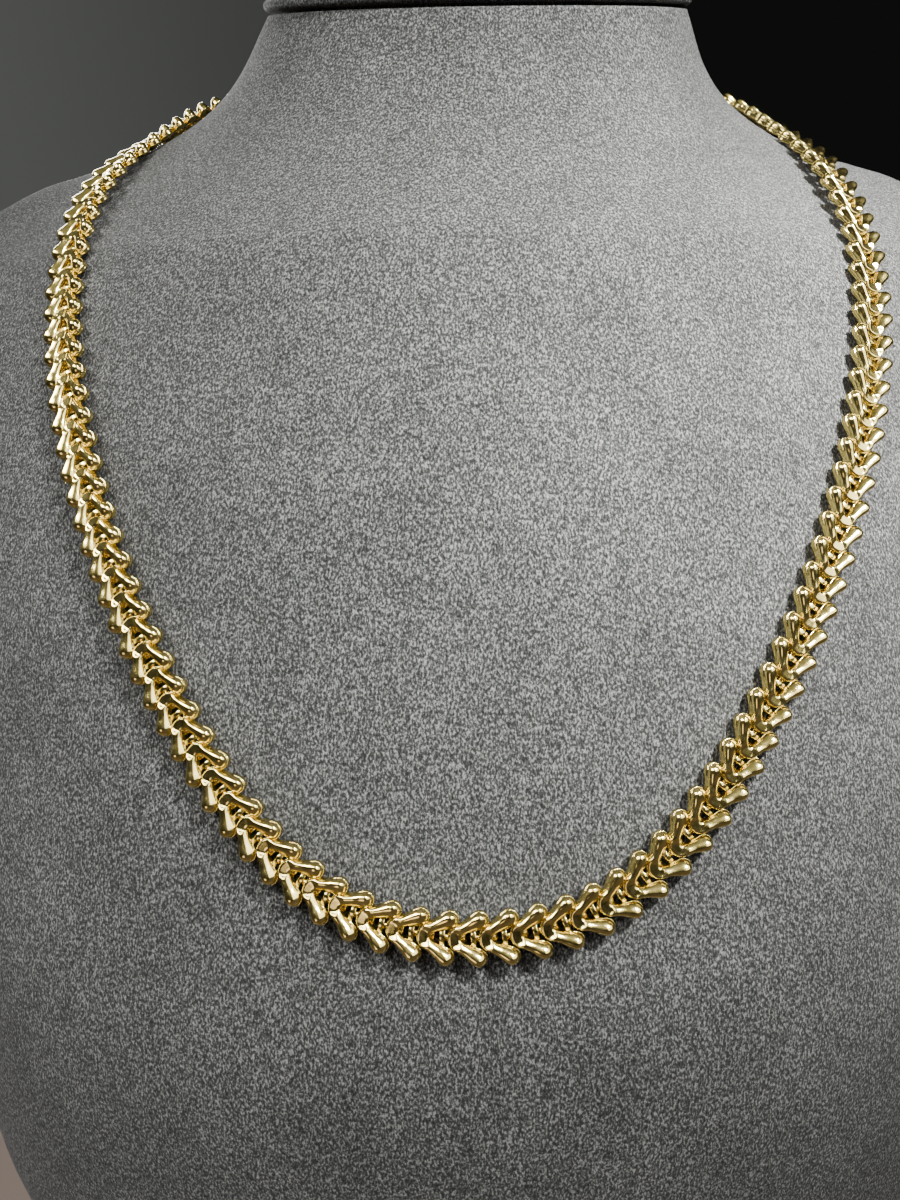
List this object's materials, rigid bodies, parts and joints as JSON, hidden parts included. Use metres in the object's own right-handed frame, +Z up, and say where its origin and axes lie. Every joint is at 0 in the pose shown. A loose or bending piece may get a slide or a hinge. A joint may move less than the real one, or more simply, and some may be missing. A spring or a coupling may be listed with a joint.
{
  "type": "gold wheat chain necklace on a neck bust",
  "caption": "Closed neck chain of interlocking V links with swelling grain ends, worn by a plain suede-covered display bust of the neck and shoulders.",
  "frame": {"origin": "middle of the flat base of the bust", "axes": "+Z up, the chest faces -Y, +X to the right of someone who looks at the chest"},
  "size_m": [0.2088, 0.1119, 0.2606],
  "materials": {
    "gold": "polished yellow gold",
    "suede": "short grey suede nap stretched over the bust"
  },
  "bodies": {
    "root": {"chain_left": "gold", "chain_right": "gold", "clasp": "gold", "neck_bust": "suede", "neck_cap": "suede"}
  },
  "joints": []
}
